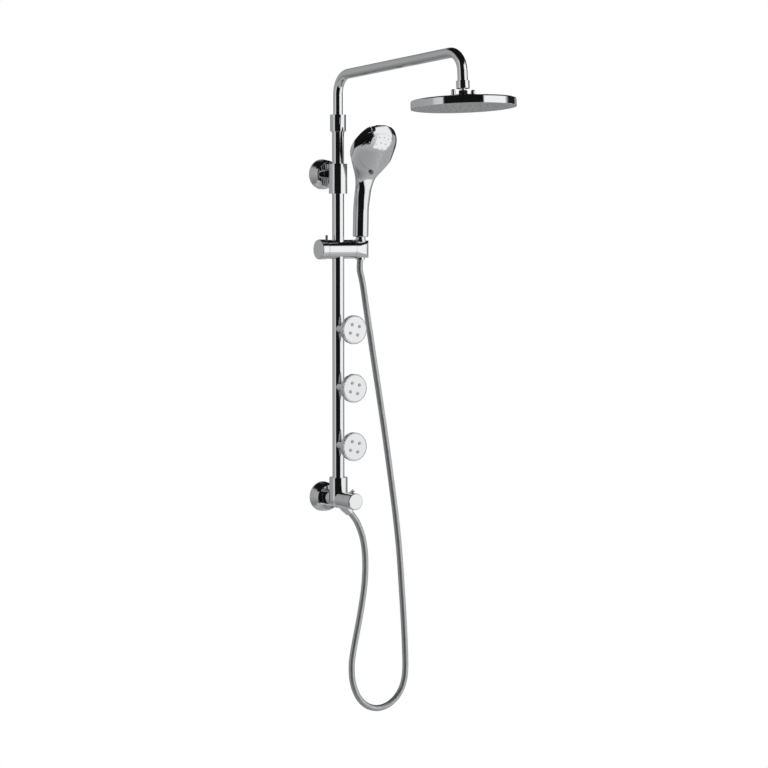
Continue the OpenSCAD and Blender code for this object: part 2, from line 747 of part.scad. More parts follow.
module on_rain_rings()
    for (ring = [1 : rain_rings], k = [0 : 6 * ring - 1]) {
        a = k * 60 / ring + 30 / ring;
        x = ring * rain_ring_pitch * cos(a);
        y = ring * rain_ring_pitch * sin(a);
        if (clear_of_post(x, y)) translate([x, y, 0]) children();
    }

module rain_nozzle_holes()
    on_rain_rings() cylinder(d = nozzle_d + 2 * fit_gap, h = rain_face_t + 2 * over);

module rain_nozzle_mat() color("dimgray") at_ball() difference() {
    union() {
        translate([0, 0, -rain_face_w + rain_face_t + fit_gap])
            cylinder(r = mat_r, h = rain_mat_t);
        translate([0, 0, -rain_face_w - nozzle_proud]) on_rain_rings()
            cylinder(d = nozzle_d, h = nozzle_proud + rain_face_t + fit_gap + rain_mat_t);
    }
    for (side = [-1, 1]) translate([side * cap_screw_out, 0, -rain_face_w])
        cylinder(d = post_d + 4 * fit_gap, h = rain_rim);
}

module rain_cap_screws() color("silver") at_ball()
    for (side = [-1, 1]) translate([side * cap_screw_out, 0, -rain_top_w]) {
        translate([0, 0, fit_gap]) cylinder(d = cap_screw_d, h = cap_screw_h - 2);
        translate([0, 0, fit_gap + cap_screw_h - 2])
            cylinder(d1 = cap_screw_d, d2 = cap_screw_d * 0.6, h = 2);
        translate([0, 0, -rain_wall - cap_shank_len + 1])
            cylinder(d = cap_shank_d, h = rain_wall + cap_shank_len);
    }

// Body jets
module at_jet(k)
    at_wall(jet_low_z + k * jet_pitch) translate([0, 0, riser_out + jet_ball_out])
        children();

module jet_stubs() color("silver")
    for (k = [0 : 2]) difference() {
        union() {
            difference() {
                at_jet(k) translate([0, 0, -jet_ball_out])
                    cylinder(d = jet_stub_d, h = jet_ball_out - jet_ball_r - 2);
                at_riser(jet_low_z + k * jet_pitch - jet_stub_d)
                    cylinder(r = riser_r + fit_gap, h = 2 * jet_stub_d);
            }
            at_jet(k) translate([0, 0, riser_r - riser_wall - jet_ball_out])
                cylinder(d = jet_port_d + 2, h = riser_wall + 4);
            at_jet(k) translate([0, 0, -jet_ball_r - 3]) cylinder(d = jet_neck_d, h = jet_ball_r);
            at_jet(k) sphere(r = jet_ball_r);
        }
        at_jet(k) translate([0, 0, -jet_ball_out]) cylinder(d = jet_port_d - 2, h = 2 * jet_ball_out);
    }

module jet_seat(k) color("white") at_jet(k)
    ball_ring(jet_ball_r + ball_gap, jet_seat_r, seat_half);

module jet_housing(k) color("silver") at_jet(k) difference() {
    union() {
        translate([0, 0, jet_lip_w]) cylinder(d = jet_socket_d, h = jet_disc_w - jet_lip_w + jet_wall);
        rotate_extrude() polygon([
            [0, jet_disc_w], [jet_r - 3, jet_disc_w], [jet_r - 0.8, jet_disc_w + 0.8],
            [jet_r, jet_disc_w + 3], [jet_r, jet_face_out - 1.6],
            [jet_r - 0.5, jet_face_out - 0.5], [jet_r - 1.6, jet_face_out],
            [0, jet_face_out]
        ]);
    }
    sphere(r = jet_socket_r);
    translate([0, 0, jet_lip_w - over]) cylinder(d = jet_mouth_d, h = -jet_lip_w);
    cylinder(r = jet_socket_r, h = jet_socket_r + jet_wall);
    translate([0, 0, jet_socket_r + jet_wall - 1]) cylinder(
        r = jet_r - jet_wall, h = jet_t);
}

module jet_nozzle_places()
    for (a = [0 : 90 : 270]) rotate(jet_nozzle_turn + a) translate([jet_nozzle_out, 0, 0])
        children();

module jet_face(k) color("silver") at_jet(k) difference() {
    translate([0, 0, jet_face_out - jet_face_t])
        cylinder(r = jet_r - jet_wall - fit_gap, h = jet_face_t);
    translate([0, 0, jet_face_out - jet_face_t - over]) jet_nozzle_places()
        cylinder(d = jet_nozzle_d + 2 * fit_gap, h = jet_face_t + 2 * over);
}

module jet_nozzles(k) color("dimgray") at_jet(k) {
    translate([0, 0, jet_face_out - jet_face_t - fit_gap - jet_mat_t])
        cylinder(r = jet_nozzle_out + jet_nozzle_d, h = jet_mat_t);
    translate([0, 0, jet_face_out - jet_face_t - fit_gap - jet_mat_t]) jet_nozzle_places()
        cylinder(d = jet_nozzle_d, h = jet_mat_t + fit_gap + jet_face_t + 0.8);
}

module jet_low_seat() jet_seat(0);
module jet_low_housing() jet_housing(0);
module jet_low_face() jet_face(0);
module jet_low_nozzles() jet_nozzles(0);
module jet_mid_seat() jet_seat(1);
module jet_mid_housing() jet_housing(1);
module jet_mid_face() jet_face(1);
module jet_mid_nozzles() jet_nozzles(1);
module jet_top_seat() jet_seat(2);
module jet_top_housing() jet_housing(2);
module jet_top_face() jet_face(2);
module jet_top_nozzles() jet_nozzles(2);

// Slider
module slider_body() color("silver") difference() {
    along_slider() translate([0, 0, -slider_left])
        cylinder(d = slider_d, h = slider_left + slider_right);
    at_riser(slider_z - slider_d) cylinder(r = riser_r + pass_gap, h = 2 * slider_d);
    at_riser(slider_z - bush_len / 2 - fit_gap)
        cylinder(r = bush_r + fit_gap, h = bush_len + 2 * fit_gap);
    along_slider() translate([0, 0, -slider_left - over])
        cylinder(d = clamp_d + 2 * run_gap, h = slider_left - riser_r);
    along_slider() translate([0, 0, -pad_back])
        cylinder(d = pad_d + 2 * fit_gap, h = pad_back - riser_r);
    at_riser(slider_z + release_floor) translate([-release_out, 0, 0])
        cylinder(d = release_d + 2 * run_gap, h = slider_r);
    along_slider() cylinder(d = tilt_screw_d + 2 * pass_gap, h = slider_right);
    along_slider() cylinder(d = tilt_head_d + 2 * pass_gap, h = tilt_head_x + tilt_head_t + pass_gap);
    along_slider() translate([0, 0, cup_spigot_left - pass_gap])
        cylinder(d = cup_spigot_d + 2 * run_gap, h = slider_right);
}

module slider_bush() color("white") difference() {
    at_riser(slider_z - bush_len / 2) tube(2 * bush_r, riser_d + 2 * run_gap, bush_len);
    along_slider() translate([0, 0, -pad_back])
        cylinder(d = pad_d + 2 * fit_gap, h = pad_back);
}

module brake_pad() color("black") difference() {
    along_slider() translate([0, 0, -pad_back + fit_gap])
        cylinder(d = pad_d, h = pad_back - riser_r + 2);
    at_riser(slider_z - pad_d) cylinder(r = riser_r + run_gap, h = 2 * pad_d);
}

module slider_knob() color("silver") along_slider()
    translate([0, 0, -slider_left - knob_gap]) rotate([180, 0, 0]) difference() {
        rotate_extrude() polygon([
            [0, 0], [knob_d / 2 - 0.8, 0], [knob_d / 2, 0.8],
            [knob_d / 2, knob_len - 1.8], [knob_d / 2 - 0.5, knob_len - 0.6],
            [knob_d / 2 - 1.8, knob_len], [0, knob_len]
        ]);
        translate([0, 0, -over]) cylinder(d = clamp_d + 2 * fit_gap, h = knob_len - 3 + over);
    }

module clamp_screw() color("dimgray") along_slider() translate([0, 0, -clamp_end + fit_gap])
    cylinder(d = clamp_d, h = clamp_end - pad_back - 2 * fit_gap);

module release_button() color("dimgray")
    at_riser(slider_z + release_floor + release_spring_len) translate([-release_out, 0, 0]) {
        body_h = slider_r + release_proud - release_floor - release_spring_len;
        cylinder(d = release_d, h = body_h - 1);
        translate([0, 0, body_h - 1]) cylinder(d1 = release_d, d2 = release_d - 1.6, h = 1);
    }

module release_spring() color("gray")
    at_riser(slider_z + release_floor + fit_gap) translate([-release_out, 0, 0])
        tube(release_d - 0.4, release_d - 1.8, release_spring_len - 2 * fit_gap);

// Holder: a cup that tilts about the slider's axis. Seen from above it narrows from the
// slider to its round end.
module cup_outline() {
    polygon([
        [cup_left - over, -slider_r], [cup_x, -cup_r], [cup_x, cup_r], [cup_left - over, slider_r]
    ]);
    translate([cup_x, 0]) circle(r = cup_r - 0.01);
}

module holder_cup() color("silver") difference() {
    union() {
        intersection() {
            along_slider() translate([0, 0, cup_left])
                cylinder(d = slider_d, h = cup_x - cup_left + cup_r);
            at_riser(slider_z - slider_d) linear_extrude(2 * slider_d) cup_outline();
        }
        along_slider() translate([0, 0, cup_spigot_left])
            cylinder(d = cup_spigot_d, h = cup_left - cup_spigot_left + over);
    }
    at_cup() translate([0, 0, -cone_below]) cylinder(
        d1 = cone_low_d + 2 * cone_gap, d2 = cone_top_d + 2 * cone_gap,
        h = cone_above + cone_below);
    at_cup() translate([0, 0, cone_above - 0.01])
        cylinder(d = cone_top_d + 2 * cone_gap, h = slider_d);
    at_cup() translate([0, -cup_slot / 2, -slider_d]) cube([slider_d, cup_slot, 2 * slider_d]);
    along_slider() translate([0, 0, cup_spigot_left - over])
        cylinder(d = tilt_screw_d + 2 * fit_gap, h = 9);
}

module tilt_screw() color("dimgray") along_slider() {
    translate([0, 0, tilt_head_x]) cylinder(d = tilt_head_d, h = tilt_head_t);
    translate([0, 0, tilt_head_x])
        cylinder(d = tilt_screw_d, h = cup_spigot_left + 7 - tilt_head_x);
}

// Handset. cone_r gives the cone's radius at a height up the holder's hole.
function cone_r(s) = cone_low_d / 2 + (s + cone_below) * cone_slope;

module hose_swivel() color("silver") at_cup() translate([0, 0, -cone_below])
    tube(swivel_d, hose_bore, swivel_len);

module cone_nut() color("silver") at_cup() difference() {
    union() {
        translate([0, 0, -cone_below]) cylinder(
            d1 = cone_low_d, d2 = cone_top_d, h = cone_above + cone_below);
        translate([0, 0, cone_above]) cylinder(d = collar_d, h = cone_collar);
    }
    translate([0, 0, -cone_below - over])
        cylinder(d = swivel_d + 2 * run_gap, h = swivel_len + pass_gap + over);
    translate([0, 0, -cone_below]) cylinder(d = hose_bore, h = cone_above + cone_below);
    translate([0, 0, tail_low]) cylinder(d = tail_d + 2 * fit_gap, h = cone_top);
}

module handset_waterway() color("white") at_cup() {
    translate([0, 0, tail_low + fit_gap]) tube(tail_d, 9, grip_low - tail_low + 3);
    translate([0, 0, grip_low + 3]) tube(12, 9, grip_len - 8);
}

module handset_handle() color("silver") at_cup() difference() {
    translate([0, 0, grip_low]) rotate_extrude() polygon([
        [0, 0], [grip_d / 2 - 1.6, 0], [grip_d / 2 - 0.4, 0.6], [grip_d / 2, 1.8],
        [grip_d / 2, grip_len - grip_taper],
        [grip_d / 2 - 1, grip_len - grip_taper * 0.66],
        [grip_neck_d / 2 + 1, grip_len - grip_taper * 0.3],
        [grip_neck_d / 2, grip_len], [0, grip_len]
    ]);
    translate([0, 0, grip_low - over]) cylinder(d = tail_d + 2 * fit_gap, h = grip_len + 2 * over);
}

// The head's outer form: a thick rounded disc, and a neck drawn down to the handle
module head_disc() {
    edge = head_d / 2;
    hull() {
        translate([0, 0, -1.5]) cylinder(r1 = edge, r2 = edge - 1.5, h = 1.5, $fn = 40);
        translate([0, 0, -head_t / 3]) cylinder(r = edge, h = head_t / 5, $fn = 40);
        translate([0, 0, -head_t * 0.75]) cylinder(r = edge * 0.86, h = 1, $fn = 32);
        translate([0, 0, -head_t]) cylinder(r = edge * 0.5, h = 1, $fn = 32);
    }
}

module head_neck()
    hull() {
        translate([0, -head_d * 0.15, -head_t * 0.75])
            cylinder(r = head_d * 0.34, h = head_t / 2, $fn = 32);
        translate([0, -head_out, -head_fwd]) sphere(d = grip_neck_d, $fn = 24);
    }

module handset_head() color("silver") difference() {
    at_head() union() {
        head_disc();
        head_neck();
    }
    at_cup() translate([0, 0, grip_low]) cylinder(d = 2 * grip_d, h = grip_len);
    at_head() translate([0, 0, -head_cavity_t]) cylinder(d = face_d + 2 * fit_gap, h = head_t);
    at_head() translate([0, -head_out - 4, -head_fwd]) rotate([-90, 0, 0])
        cylinder(d = 9, h = head_out - face_d / 2 + 7);
    at_head() translate([0, -button_out, -button_bed])
        cylinder(d = button_d + 2 * run_gap, h = head_t);
}

module face_nozzle_places() on_rings(face_rings, face_ring_pitch) children();

module handset_face() color("silver") at_head() difference() {
    translate([0, 0, -face_t]) cylinder(d = face_d, h = face_t);
    translate([0, 0, -face_t - over]) face_nozzle_places()
        cylinder(d = face_nozzle_d + 2 * fit_gap, h = face_t + 2 * over);
}

module handset_nozzles() color("dimgray") at_head() {
    mat_z = -face_t - fit_gap - face_mat_t;
    translate([0, 0, mat_z])
        cylinder(r = face_rings * face_ring_pitch + face_nozzle_d, h = face_mat_t);
    translate([0, 0, mat_z]) face_nozzle_places()
        cylinder(d = face_nozzle_d, h = face_mat_t + fit_gap + face_t + 0.9);
}

module spray_button() color("dimgray") at_head()
    translate([0, -button_out, -button_foot]) {
        cylinder(d = button_d, h = button_foot + button_proud - 0.8);
        translate([0, 0, button_foot + button_proud - 0.8])
            cylinder(d1 = button_d, d2 = button_d - 1.6, h = 0.8);
    }

module spray_spring() color("gray") at_head()
    translate([0, -button_out, -button_bed + fit_gap])
        tube(button_d - 3, button_d - 5, button_bed - button_foot - 2 * fit_gap);

// Hose. A smooth curve runs through the route's points, and rings are set on it at
// equal distances.
function place(p) = [p[0], -riser_out - p[1], p[2]];
function near_point(i) =
    i < 0 ? 2 * place(route[0]) - place(route[1])
    : i > len(route) - 1
        ? 2 * place(route[len(route) - 1]) - place(route[len(route) - 2])
        : place(route[i]);
function curve_point(i, t) =
    let (a = near_point(i - 1), b = near_point(i), c = near_point(i + 1), d = near_point(i + 2))
    0.5 * (2 * b + (c - a) * t + (2 * a - 5 * b + 4 * c - d) * t * t
        + (3 * b - a - 3 * c + d) * t * t * t);
curve = concat(
    [for (i = [0 : len(route) - 2], t = [0 : curve_steps - 1]) curve_point(i, t / curve_steps)],
    [near_point(len(route) - 1)]);
// Distance along the curve at each of its points
curve_s = [
    for (i = 0, s = 0; i < len(curve); i = i + 1,
        s = s + (i < len(curve) ? norm(curve[i] - curve[i - 1]) : 0)) s
];
hose_len = curve_s[len(curve_s) - 1];
function find_step(s, low, high) =
    high - low < 2 ? low
    : let (m = floor((low + high) / 2)) curve_s[m] <= s ? find_step(s, m, high) : find_step(s, low, m);
function along(s) =
    let (i = find_step(s, 0, len(curve_s) - 1), f = (s - curve_s[i]) / (curve_s[i + 1] - curve_s[i]))
    curve[i] + (curve[i + 1] - curve[i]) * f;
ring_count = round(hose_len / hose_ring_pitch) + 1;
ring_gap = hose_len / (ring_count - 1);
ring_at = [for (i = [0 : ring_count - 1]) along(min(i * ring_gap, hose_len - 0.0001))];
function unit(v) = v / norm(v);
function ring_way(i) =
    i == 0 ? unit(near_point(1) - near_point(0))
    : i == ring_count - 1 ? unit(near_point(len(route) - 1) - near_point(len(route) - 2))
    : unit(ring_at[i + 1] - ring_at[i - 1]);
function square_to(n, w) = unit(n - w * (n * w));
ring_side = [
    for (i = 0, n = square_to([1, 0, 0], ring_way(0)); i < ring_count; i = i + 1,
        n = i < ring_count ? square_to(n, ring_way(i)) : n) n
];
function ring_points(i, r) =
    let (w = ring_way(i), n = ring_side[i], b = cross(w, n))
    [for (k = [0 : hose_sides - 1])
        ring_at[i] + r * (n * cos(k * 360 / hose_sides) + b * sin(k * 360 / hose_sides))];
// The ring nearest a point of the route
function ring_near(point) = round(curve_s[point * curve_steps] / ring_gap);

// Faces that join two rings of points, the first of which start at a and b
function band(a, b) = [
    for (k = [0 : hose_sides - 1], half = [0, 1])
        let (m = (k + 1) % hose_sides)
        half == 0 ? [a + k, b + m, b + k] : [a + k, a + m, b + m]
];
module hose_stretch(k) {
    first = ring_near(hose_cuts[k]);
    last = ring_near(hose_cuts[k + 1]);
    outside = [for (i = [first : last]) each ring_points(i, hose_d / 2)];
    inside = [for (i = [first : last]) each ring_points(i, hose_bore / 2)];
    bore_from = len(outside);
    steps = last - first;
    outer_faces = [for (i = [0 : steps - 1]) each band(hose_sides * i, hose_sides * (i + 1))];
    inner_faces = [
        for (i = [0 : steps - 1])
            each band(bore_from + hose_sides * (i + 1), bore_from + hose_sides * i)
    ];
    end_faces = concat(
        band(bore_from, 0),
        band(hose_sides * steps, bore_from + hose_sides * steps));
    polyhedron(
        points = concat(outside, inside),
        faces = concat(outer_faces, inner_faces, end_faces), convexity = 20);
}

module hose_loop() color("darkgray") hose_stretch(0);
module hose_rise() color("darkgray") hose_stretch(1);
module hose_bend() color("darkgray") hose_stretch(2);
module hose_top() color("darkgray") hose_stretch(3);

riser_tube();
seal_rings();
valve_body();
lower_flange();
upper_flange();
wall_plate();
upper_bracket();
grub_screws();
arm_sleeve();
jet_stubs();
diverter_cartridge();
ceramic_disc_fixed();
cartridge_nut();
hose_nut_low();
hose_loop();
hose_rise();
diverter_handle();
diverter_lever();
diverter_spindle();
ceramic_disc_moving();
overhead_arm();
swivel_nut();
ball_seat();
swivel_ball();
rain_head_body();
rain_head_face();
rain_nozzle_mat();
rain_cap_screws();
slider_body();
slider_bush();
brake_pad();
release_spring();
hose_bend();
slider_knob();
clamp_screw();
release_button();
holder_cup();
tilt_screw();
hose_top();
hose_swivel();
cone_nut();
handset_waterway();
handset_handle();
handset_head();
handset_face();
handset_nozzles();
spray_spring();
spray_button();
jet_low_seat();
jet_low_housing();
jet_low_face();
jet_low_nozzles();
jet_mid_seat();
jet_mid_housing();
jet_mid_face();
jet_mid_nozzles();
jet_top_seat();
jet_top_housing();
jet_top_face();
jet_top_nozzles();
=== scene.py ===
"""Looks of the wall shower system: its finishes, hose, hand shower shell, nozzles and studio."""

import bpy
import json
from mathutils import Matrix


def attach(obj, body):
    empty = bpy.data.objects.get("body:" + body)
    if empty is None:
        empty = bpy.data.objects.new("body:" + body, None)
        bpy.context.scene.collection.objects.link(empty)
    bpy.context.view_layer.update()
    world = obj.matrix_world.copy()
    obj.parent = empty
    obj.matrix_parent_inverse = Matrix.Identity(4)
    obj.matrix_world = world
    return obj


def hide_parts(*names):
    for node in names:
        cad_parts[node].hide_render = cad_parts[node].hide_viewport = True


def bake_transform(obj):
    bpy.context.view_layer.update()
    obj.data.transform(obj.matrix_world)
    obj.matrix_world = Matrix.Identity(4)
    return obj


bl_info = {
    "name": "Wall shower system",
    "version": (1, 0, 0),
    "blender": (4, 5, 0),
    "location": "View3D > Sidebar > Shower",
    "description": "Dresses the shower system in its finishes and adds its soft and moulded pieces",
    "category": "Object",
}

import json
import math

import bpy
from mathutils import Matrix, Vector

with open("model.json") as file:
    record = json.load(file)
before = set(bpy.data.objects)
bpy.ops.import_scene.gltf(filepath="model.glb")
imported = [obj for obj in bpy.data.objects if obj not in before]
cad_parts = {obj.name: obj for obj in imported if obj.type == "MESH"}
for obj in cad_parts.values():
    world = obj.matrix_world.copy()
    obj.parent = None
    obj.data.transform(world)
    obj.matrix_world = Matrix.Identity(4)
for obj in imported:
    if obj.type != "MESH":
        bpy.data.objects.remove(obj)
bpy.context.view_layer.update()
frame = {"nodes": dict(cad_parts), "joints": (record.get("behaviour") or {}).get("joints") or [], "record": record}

MM = 0.001
RISER_OUT = 64 * MM
HOLDER_X = 54.5 * MM

# Points closer than this are merged, and the noise values that a finish's grain spans
WELD = 0.01 * MM
GRAIN_SPAN = (0.3, 0.7)

# The spray face's centre, out from the riser and up, and how far the face looks down
FACE_OUT = 68.3 * MM
FACE_Z = 715.7 * MM
FACE_LEAN = math.radians(33.5)

# How far the shell's front lies under the spray plate's dome, how far and how abruptly the rim
# turns over, how far the front rises to the grip, how far below the face's centre that rise
# starts, and how much of the way down counts for the dome's fall
PLATE_SINK = 0.8 * MM
RIM_FALL = 4.5 * MM
RIM_POWER = 10
NECK_RISE = 7 * MM
NECK_FROM = 40 * MM
NECK_SHARE = 0.2

# Sections of the hand shower from the grip's foot to the head's tip. Each is its centre's
# distance out from the riser and its height, in millimetres, its lean in degrees, and its
# half width and half thickness. The head starts at one height and is full at another.
HAND_SECTIONS = (
    (0.9, 544, 2, 16.3, 16.3), (2.1, 578.5, 2, 16.3, 16.3), (3.2, 603.5, 4, 16.3, 16.3),
    (8, 628, 12, 17.5, 14.7), (13, 650, 24, 18.5, 14.8), (18.5, 670, 33.5, 24.5, 14.6),
    (31.5, 690, 33.5, 38.5, 14.5), (46.5, 710, 33.5, 52.5, 14.6), (61, 730, 33.5, 54, 13.3),
    (72, 749, 33.5, 45.5, 11.1), (80, 763, 33.5, 30.5, 7.8), (86, 768, 33.5, 11.5, 3),
)
HEAD_FROM = 640
HEAD_FULL = 690
SECTION_STEPS = 10
HAND_SIDES = 144
FOOT_STEPS = 4
# How far the tip stands out of the last section, out from the wall and up
TIP_OUT = 0.3 * MM
TIP_UP = 0.4 * MM

PLATE_SIDES = 96
PLATE_RINGS = 14
PLATE_THICK = 1.6 * MM
PLATE_EDGE = 0.5 * MM
NOZZLE_RINGS = (1, 2, 3)
NOZZLES_PER_RING = 6
NOZZLE_FOOT = 1.5 * MM
NOZZLE_TIP = 1.1 * MM
NOZZLE_HEIGHT = 1.6 * MM
NOZZLE_SINK = 0.1 * MM

# The black collar under the rain head's swivel nut, and how far its middle is below the ball
COLLAR_RADIUS = 8.4 * MM
COLLAR_HEIGHT = 9.2 * MM
COLLAR_DROP = 14.2 * MM
COLLAR_EDGE = 0.6 * MM

# Hose route in millimetres: right, out from the riser, up. It repeats the solids' own route.
HOSE_ROUTE = [
    (28.497, 0, -30.497), (34.153, 0, -36.153),
    (44, 0, -49), (52, 0.5, -65), (58.5, 1, -83.5), (63, 1.5, -105.5), (65, 2, -131),
    (64.5, 2.5, -161), (60.5, 3.5, -196), (53, 4.5, -235), (45, 5.5, -269),
    (37.5, 6.5, -298.5), (32, 7, -322.5), (28, 7.5, -345), (27, 8.5, -367),
    (29.5, 9, -388), (37, 9.5, -410), (49.5, 10, -429), (67, 10.6, -442),
    (88, 11.3, -448), (110, 12, -445.5), (130, 12.7, -435), (145.5, 13.3, -418),
    (155, 13.8, -396), (158.5, 14, -368), (157.5, 14, -326), (154.5, 13.5, -265),
    (150.5, 12.5, -200), (144.5, 11, -115), (136, 9, -36), (124.5, 7.5, 46),
    (112.5, 6.2, 126), (98.5, 4.7, 212), (84.5, 3.4, 295), (68.5, 1.8, 392),
    (60.2, 0.2, 446), (54.5, -1.541, 474.377), (54.5, -0.773, 496.363),
]
HOSE_CUTS = (0, 27, 33, 34, 37)
HOSE_RING_PITCH = 20 * MM
CURVE_STEPS = 8
HOSE_SIDES = 24
RINGS_PER_RIB = 4
# How far ahead the hose's direction is taken, and over how long its ribs fade at an end
HOSE_AHEAD = 3 * MM
RIB_FADE = 2 * MM

# How much brighter than white paper the studio's bright panel is, how bright the soft light
# on matt surfaces is, and how much light of the walls is left at the floor
PANEL_STRENGTH = 1.16
SOFT_STRENGTH = 0.85
FLOOR_SHADE = 0.262

# The studio's walls as the chrome sees them, by the way round in degrees. 0 is straight out
# from the wall and 90 is to its right. The left side is the same for level, steep and low
# looks, and the right side isn't.
LEFT_WALL = (
    (-180, "#9E9E9E"), (-108, "#A9A9A9"), (-100, "#D0D0D0"), (-82, "#D8D8D8"), (-78, "#161616"),
)
LEVEL_WALL = (
    (2, "#121212"), (8, "#FFFFFF"), (66, "#FFFFFF"), (74, "#8A8A8A"), (80, "#202020"),
    (108, "#202020"), (114, "#8E8E8E"), (180, "#9E9E9E"),
)
STEEP_WALL = (
    (8, "#121212"), (11, "#FFFFFF"), (66, "#FFFFFF"), (80, "#202020"), (150, "#202020"),
    (158, "#8E8E8E"),
)
LOW_WALL = (
    (8, "#121212"), (11, "#FFFFFF"), (66, "#FFFFFF"), (80, "#D6D6D6"), (180, "#C0C0C0"),
)
CEILING = "#141414"
GROUND = "#FFFFFF"

# Between which heights of a look, as the sine of its angle, each of them takes over, and
# between which the light falls to the floor's
STEEP_FADE = (0.1, 0.15)
LOW_FADE = (-0.27, -0.33)
CEILING_FADE = (0.5, 0.62)
GROUND_FADE = (-0.62, -0.7)
DEPTH_FADE = (-0.03, -1.0)


class HoseSizes(bpy.types.PropertyGroup):
    """Sizes of the hose"""
    diameter: bpy.props.FloatProperty(
        name="Diameter", description="Outer diameter over the ribs", default=13 * MM,
        subtype="DISTANCE", unit="LENGTH")
    rib_pitch: bpy.props.FloatProperty(
        name="Rib pitch", description="Distance between the ribs of the wound strip",
        default=2.6 * MM, subtype="DISTANCE", unit="LENGTH")
    rib_depth: bpy.props.FloatProperty(
        name="Rib depth", description="Depth of the groove between two ribs",
        default=0.16 * MM, subtype="DISTANCE", unit="LENGTH")


class HandShowerSizes(bpy.types.PropertyGroup):
    """How the hand shower's shell is shaped between its sections"""
    squareness: bpy.props.FloatProperty(
        name="Squareness", description="How much squarer than an ellipse the head's front is",
        default=0.8, min=0, max=2)
    head_radius: bpy.props.FloatProperty(
        name="Head radius", description="Half the width of the head, where its front turns over",
        default=52.5 * MM, subtype="DISTANCE", unit="LENGTH")
    dome_radius: bpy.props.FloatProperty(
        name="Dome radius", description="How round the head's front is, across and towards its tip",
        default=100 * MM, subtype="DISTANCE", unit="LENGTH")
    plate_radius: bpy.props.FloatProperty(
        name="Plate radius", description="Radius of the spray plate that follows the dome",
        default=41 * MM, subtype="DISTANCE", unit="LENGTH")
    nozzle_pitch: bpy.props.FloatProperty(
        name="Nozzle pitch", description="Distance between the rings of nozzles",
        default=11.4 * MM, subtype="DISTANCE", unit="LENGTH")
    foot_round: bpy.props.FloatProperty(
        name="Foot rounding", description="Radius of the grip's lower edge",
        default=2.2 * MM, subtype="DISTANCE", unit="LENGTH")


class StudioSettings(bpy.types.PropertyGroup):
    """The studio's camera"""
    lens: bpy.props.FloatProperty(
        name="Lens", description="Focal length on a 36 mm wide frame, in millimetres",
        default=116.4)
    camera_place: bpy.props.FloatVectorProperty(
        name="Camera", description="Where the camera stands", size=3,
        default=(-2.756, -4.3995, 0.596), subtype="XYZ", unit="LENGTH")
    camera_azimuth: bpy.props.FloatProperty(
        name="Azimuth", description="Turn of the view from straight at the wall",
        default=math.radians(-33.5), subtype="ANGLE", unit="ROTATION")
    camera_pitch: bpy.props.FloatProperty(
        name="Pitch", description="How far the camera looks down",
        default=math.radians(3.97), subtype="ANGLE", unit="ROTATION")


# Finishes

def linear(hex_code):
    """An sRGB hex colour as the linear RGBA that a shader takes."""
    channels = [int(hex_code[i:i + 2], 16) / 255 for i in (1, 3, 5)]
    return tuple(
        c / 12.92 if c <= 0.04045 else ((c + 0.055) / 1.055) ** 2.4 for c in channels) + (1,)


def add_node(tree, kind, settings=None, inputs=None):
    """Adds a shader node. An input that is a socket is linked, and any other value is set."""
    made = tree.nodes.new(kind)
    for name, value in (settings or {}).items():
        setattr(made, name, value)
    for name, value in (inputs or {}).items():
        socket = made.inputs[name]
        if isinstance(value, bpy.types.NodeSocket):
            tree.links.new(value, socket)
        else:
            socket.default_value = value
    return made


def surface(name, colour, metallic, roughness, grain_mm, grain_rough=0.0, bump=0.0, edge_mm=0.0):
    """A finish whose roughness and relief vary over a grain of a real size, with rounded edges."""
    made = bpy.data.materials.new(name)
    made.use_nodes = True
    tree = made.node_tree
    shader = tree.nodes["Principled BSDF"]
    shader.inputs["Base Color"].default_value = linear(colour)
    shader.inputs["Metallic"].default_value = metallic
    shader.inputs["Roughness"].default_value = roughness
    place = add_node(tree, "ShaderNodeTexCoord")
    grain = add_node(tree, "ShaderNodeTexNoise", inputs={
        "Vector": place.outputs["Object"], "Scale": 1 / (grain_mm * MM), "Detail": 3.0})
    if grain_rough:
        spread = add_node(tree, "ShaderNodeMapRange", inputs={
            "Value": grain.outputs["Fac"], "From Min": GRAIN_SPAN[0], "From Max": GRAIN_SPAN[1],
            "To Min": max(roughness - grain_rough, 0.0), "To Max": roughness + grain_rough})
        tree.links.new(spread.outputs["Result"], shader.inputs["Roughness"])
    if bump:
        relief = add_node(tree, "ShaderNodeBump", inputs={
            "Height": grain.outputs["Fac"], "Distance": bump * MM, "Strength": 1.0})
        tree.links.new(relief.outputs["Normal"], shader.inputs["Normal"])
    if edge_mm:
        rounded = add_node(tree, "ShaderNodeBevel", {"samples": 6}, {"Radius": edge_mm * MM})
        tree.links.new(rounded.outputs["Normal"], shader.inputs["Normal"])
    return made


def chrome_plate():
    """Chrome plate on polished brass: mirror bright, with faint wiping marks here and there."""
    return surface("chrome_plate", "#DFE0E2", 1.0, 0.035, 45, grain_rough=0.02, edge_mm=0.6)


def chromed_abs():
    """Chrome plate on moulded ABS: a mirror that waves slightly."""
    return surface("chromed_abs", "#DADBDD", 1.0, 0.05, 30, grain_rough=0.02, bump=0.02)


def rounded_abs():
    """Chrome plate on the jets' moulded ABS, whose rims are well rounded."""
    return surface("chromed_abs_rounded", "#DADBDD", 1.0, 0.045, 30, grain_rough=0.02, edge_mm=3.0)


def stainless_steel():
    """Cold-rolled stainless steel: a soft, greyish shine."""
    return surface("stainless_steel", "#A6A7AA", 1.0, 0.32, 4, grain_rough=0.08)


def turned_brass():
    """Turned brass: yellow and half bright, with fine tool marks."""
    return surface("turned_brass", "#C9A254", 1.0, 0.3, 2, grain_rough=0.08)


def alumina_ceramic():
    """Lapped alumina: white, dense and slightly glossy."""
    return surface("alumina_ceramic", "#EDEDE8", 0.0, 0.22, 6, grain_rough=0.03)


def acetal():
    """Moulded white acetal: waxy and soft-edged."""
    return surface("acetal", "#E4E4DF", 0.0, 0.42, 3, grain_rough=0.05)


